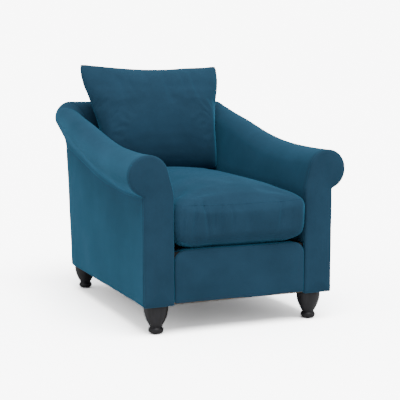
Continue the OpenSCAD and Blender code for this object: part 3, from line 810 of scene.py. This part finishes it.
def seam_on(surface, name, path, radius, sink, body, closed=True):
    """A sewn edge: a thin round line laid on a finished cushion, a little sunk into it."""
    tree = BVHTree.FromObject(surface, bpy.context.evaluated_depsgraph_get())
    laid = []
    for p in path:
        spot, normal, _, _ = tree.find_nearest(Vector(p))
        laid.append(spot - normal * sink)
    return upholster(tube(name, laid, radius, closed), body)


seat_lo, seat_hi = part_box("seat_cushion_cover")
SEAT_MID_Y = (seat_lo.y + seat_hi.y) / 2


def make_seat_cushion():
    """Boxed seat cushion with a full crown; seams run round it above and below its side band."""
    half_x, half_y = seat_hi.x - 1 * MM, (seat_hi.y - seat_lo.y) / 2 - 3 * MM
    profile = [(120, 304), (56, 306), (34, 311), (19, 320), (9, 332), (3.5, 346), (0.8, 365), (0, 392),
               (0, 420),
               (0.8, 440), (2.5, 453), (6, 463), (13, 471), (26, 480.5), (46, 491.5), (74, 505), (110, 519),
               (150, 529.5), (195, 535), (240, 536)]
    rings = []
    for inset, z in profile:
        ring = rounded_rectangle(half_x - inset * MM, half_y - inset * MM, (28 + 1.0 * inset) * MM)
        rings.append([(x, y + SEAT_MID_Y, z * MM) for x, y in ring])
    cushion = loft("seat_cushion", rings)
    remesh(cushion, 6 * MM)
    puff(cushion, 2.5, 14, 5 * MM, -0.01)
    relax(cushion, 8)
    subdivide(cushion)

    def front_face(co, nor):
        facing = np.clip(-nor[:, 1] * 1.6 - 0.25, 0, 1)
        height = np.clip(1.2 - np.abs(co[:, 2] - 0.41) / 0.085, 0, 1)
        return facing * height

    ripple(cushion, 8 * MM, 15, 5.0, (1, 0.3, 0.2), front_face)
    crease(cushion, [(-0.236, 0.34, 0.47, 0.008, 0.007, 0.004), (-0.192, 0.335, 0.49, 0.012, 0.009, 0.0055),
                     (-0.146, 0.34, 0.50, -0.010, 0.009, 0.0055), (-0.112, 0.36, 0.45, 0.006, 0.007, 0.003),
                     (-0.086, 0.345, 0.49, 0.014, 0.010, 0.005), (-0.042, 0.35, 0.46, -0.008, 0.009, 0.004),
                     (0.02, 0.36, 0.47, 0.010, 0.011, 0.003), (0.148, 0.345, 0.475, 0.024, 0.009, 0.0045),
                     (0.192, 0.35, 0.46, 0.016, 0.008, 0.003)])
    ripple(cushion, 4 * MM, 9, 15.0)
    upholster(cushion, "seat_cushion", ["seat_cushion_cover", "seat_cushion_core"])
    for name, inset, z in (("seat_cushion_upper_seam", 6 * MM, 0.465),
                           ("seat_cushion_lower_seam", 6 * MM, 0.333)):
        path = [(x, y + SEAT_MID_Y, z) for x, y in
                rounded_rectangle(half_x - inset, half_y - inset, 30 * MM, 60)]
        seam_on(cushion, name, path, 1.5 * MM, 0.7 * MM, "seat_cushion")


pillow_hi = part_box("back_cushion_cover")[1]
PILLOW_FOOT = np.array([282, 512]) * MM
PILLOW_HEAD = np.array([422, 965]) * MM


def pillow_half(v):
    return mix(INNER_X - 2 * MM, pillow_hi.x + 3 * MM, smooth((v - 0.3) / 0.62))


def make_back_cushion():
    """Knife-edge cushion: two sheets joined all round, thick in the middle, with pointed upper corners."""
    along = PILLOW_HEAD - PILLOW_FOOT
    span = np.linalg.norm(along)
    along = along / span
    out = np.array([-along[1], along[0]])
    nu, nv = 60, 56
    points, index = [], {}

    def spot(u, v, thick):
        sag = -24 * MM * (1 - u * u) * smooth((v - 0.6) / 0.4)
        sag += 5 * MM * (1 - u * u) * smooth((0.3 - v) / 0.3)
        droop = 2 * MM * (1 + u) * smooth((v - 0.7) / 0.3)
        ear = smooth((abs(u) - 0.93) / 0.07) * smooth((v - 0.93) / 0.07) * 1.5 * MM
        y, z = PILLOW_FOOT + along * (v * span + sag - droop - ear) + out * thick
        return (u * pillow_half(v) - math.copysign(ear, u), y, z)

    def place(i, j, side):
        u = math.sin(math.pi / 2 * (2 * i / nu - 1))
        v = 0.5 - 0.5 * math.cos(math.pi * j / nv)
        edge = i in (0, nu) or j in (0, nv)
        key = (i, j, 0 if edge else side)
        if key not in index:
            squashed = 1 - smooth((v - 0.3) / 0.4)
            fill = (1 - abs(u) ** mix(2.3, 8, squashed)) ** 0.56 * (4 * v * (1 - v)) ** 0.46
            index[key] = len(points)
            points.append(spot(u, v, 0 if edge else fill * (98 * MM if side < 0 else -46 * MM)))
        return index[key]

    faces = []
    for side in (-1, 1):
        for i in range(nu):
            for j in range(nv):
                faces.append(tuple(dict.fromkeys(
                    (place(i, j, side), place(i + 1, j, side), place(i + 1, j + 1, side), place(i, j + 1, side)))))
    pillow = mesh_from("back_cushion", points, faces)
    remesh(pillow, 5 * MM)
    puff(pillow, 2.0, 10, 6 * MM, -0.01)
    relax(pillow, 8)
    subdivide(pillow)

    def below_top(co, nor):
        facing = np.clip(-nor[:, 1] * 1.6 - 0.4, 0, 1)
        return facing * np.clip((co[:, 2] - 0.72) / 0.1, 0, 1) * np.clip((0.95 - co[:, 2]) / 0.05, 0, 1)

    ripple(pillow, 7 * MM, 11, 61.0, (1, 0.3, 0.25), below_top)
    crease(pillow, [(-0.225, 0.83, 0.95, 0.010, 0.014, 0.003), (-0.168, 0.80, 0.95, 0.008, 0.016, 0.006),
                    (-0.124, 0.84, 0.945, -0.008, 0.013, 0.004), (-0.052, 0.83, 0.935, 0.006, 0.015, 0.004),
                    (0.044, 0.80, 0.935, -0.008, 0.016, 0.005), (0.118, 0.82, 0.94, -0.010, 0.014, 0.0035),
                    (0.176, 0.80, 0.945, -0.012, 0.015, 0.0045)])
    ripple(pillow, 4 * MM, 7, 51.0)
    upholster(pillow, "back_cushion", ["back_cushion_cover", "back_cushion_core"])
    edge = [(u, 0) for u in np.linspace(-0.98, 0.98, 60)] + [(1, v) for v in np.linspace(0.01, 0.99, 60)]
    edge += [(u, 1) for u in np.linspace(0.98, -0.98, 60)] + [(-1, v) for v in np.linspace(0.99, 0.01, 60)]
    seam_on(pillow, "back_cushion_seam", [spot(u, v, 0) for u, v in edge], 1.6 * MM, 0.4 * MM, "back_cushion")


# ---------- deck ----------
def make_deck():
    """Black lining over the deck foam, turned down over its front edge, and a flap of it before the rail."""
    foam_lo, foam_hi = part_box("deck_foam")
    top, thick, turn = deck_hi.z, 1.4 * MM, 6 * MM
    front, back = foam_lo.y - 0.3 * MM, foam_hi.y
    bend = [(front + turn - (turn + thick) * math.cos(a), top - thick - turn + (turn + thick) * math.sin(a))
            for a in np.linspace(0, math.pi / 2, 7)]
    side = [(front, top - thick), (front, foam_lo.z), (front - thick, foam_lo.z), *bend]
    side += [(back, top), (back, top - thick)]
    rings = [[(x, y, z) for y, z in side] for x in np.linspace(deck_lo.x, deck_hi.x, 40)]
    deck = dress(loft("deck_cloth", rings), "lining_cloth")
    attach(deck, "chair")
    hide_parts("deck_cover")
    rail_lo, rail_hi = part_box("front_seat_rail")
    far, near = rail_lo.y - 2 * MM, rail_lo.y - 3.5 * MM
    low, high = rail_hi.z - 45 * MM, foam_hi.z
    rings = [[(x, y, z) for y, z in ((far, high), (far, low), (near, low), (near, high))]
             for x in np.linspace(deck_lo.x + 0.5 * MM, deck_hi.x - 0.5 * MM, 12)]
    flap = dress(loft("rail_cloth", rings), "lining_cloth")
    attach(flap, "chair")


# ---------- legs ----------
def make_legs():
    leg_lo, leg_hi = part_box("front_left_leg")
    top_r = (leg_hi.x - leg_lo.x) / 2 + 1.5 * MM
    waist, toe_x, toe, toe_z, waist_z, swell_z = [v * MM for v in (21.5, 15.2, 12.5, 14.4, 27, 95)]
    profile = [(0.1 * MM, 2.6 * MM), (9 * MM, 2.6 * MM)]
    profile += [(toe_x + toe * math.cos(a), toe_z + toe * math.sin(a)) for a in np.linspace(-1.15, 0.86, 22)]
    profile += [(waist + 0.8 * MM, 24.6 * MM), (waist, 25.6 * MM), (waist - 0.2 * MM, 26.4 * MM)]
    profile += [(waist + (top_r - waist) * math.sin(math.pi / 2 * t) ** 0.9, mix(waist_z, swell_z, t))
                for t in np.linspace(0.015, 1, 34)]
    profile += [(top_r, BASE_Z - 3 * MM), (top_r - 1 * MM, BASE_Z - 1 * MM)]
    profile += [(top_r - 3 * MM, BASE_Z), (0.1 * MM, BASE_Z)]
    for name in ("front_left_leg", "front_right_leg", "rear_left_leg", "rear_right_leg"):
        lo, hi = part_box(name)
        cx, cy = (lo.x + hi.x) / 2, (lo.y + hi.y) / 2
        rings = [[(cx + r * math.cos(2 * math.pi * k / 72), cy + r * math.sin(2 * math.pi * k / 72), z)
                  for k in range(72)] for r, z in profile]
        leg = loft(name + "_turned", rings)
        dress(leg, "stained_wood")
        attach(leg, "chair")
        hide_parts(name)


make_arm_covers()
make_back_cover()
make_facings()
make_outside()
make_border()
make_seat_cushion()
make_back_cushion()
make_deck()
make_legs()


# ---------- stage and light ----------
STAGE_GAIN = 10.2
SKY_SEEN = 8.5
SUNS = (("key", 2.4, 45, (0.0, 0.42, -1.0)), ("side", 0.12, 30, (1.0, 0.15, -0.7)))


def seen_or_lighting(tree, seen, lighting):
    """Gives the camera the brighter colour and the light on the chair the plainer one."""
    path = tree.nodes.new("ShaderNodeLightPath")
    pick = tree.nodes.new("ShaderNodeMix")
    pick.data_type = "RGBA"
    pick.clamp_factor = True
    pick.inputs["A"].default_value = (*lighting, 1)
    pick.inputs["B"].default_value = (*seen, 1)
    tree.links.new(path.outputs["Is Camera Ray"], pick.inputs["Factor"])
    return pick.outputs["Result"]


def make_stage():
    mesh = bpy.data.meshes.new("floor")
    size = 60
    corners = [(-size, -size, 0), (size, -size, 0), (size, size, 0), (-size, size, 0)]
    mesh.from_pydata(corners, [], [(0, 1, 2, 3)])
    floor = add_object("floor", mesh)
    mat = bpy.data.materials.new("floor")
    mat.use_nodes = True
    tree = mat.node_tree
    tree.nodes.clear()
    paper = tree.nodes.new("ShaderNodeBsdfDiffuse")
    out = tree.nodes.new("ShaderNodeOutputMaterial")
    pale = 0.72
    tree.links.new(seen_or_lighting(tree, [pale * STAGE_GAIN] * 3, [pale] * 3), paper.inputs["Color"])
    tree.links.new(paper.outputs["BSDF"], out.inputs["Surface"])
    floor.data.materials.append(mat)


def make_light():
    world = bpy.data.worlds.new("world")
    bpy.context.scene.world = world
    world.use_nodes = True
    sky = world.node_tree.nodes["Background"]
    tree = world.node_tree
    place = tree.nodes.new("ShaderNodeTexCoord")
    split = tree.nodes.new("ShaderNodeSeparateXYZ")
    tree.links.new(place.outputs["Generated"], split.inputs["Vector"])
    overhead = ramp_node(tree, split.outputs["Z"], [(0.0, (0.5, 0.5, 0.505)), (0.75, (0.43, 0.43, 0.43))])
    seen = seen_or_lighting(tree, [SKY_SEEN] * 3, (1, 1, 1))
    tree.links.new(overhead.outputs["Color"], seen.node.inputs["A"])
    tree.links.new(seen, sky.inputs["Color"])
    sky.inputs["Strength"].default_value = 1.0
    for name, power, spread, way in SUNS:
        sun = bpy.data.lights.new(name, "SUN")
        sun.energy = power
        sun.angle = math.radians(spread)
        lamp = bpy.data.objects.new(name, sun)
        bpy.context.scene.collection.objects.link(lamp)
        lamp.rotation_euler = Vector(way).to_track_quat("-Z", "Y").to_euler()


make_stage()
make_light()
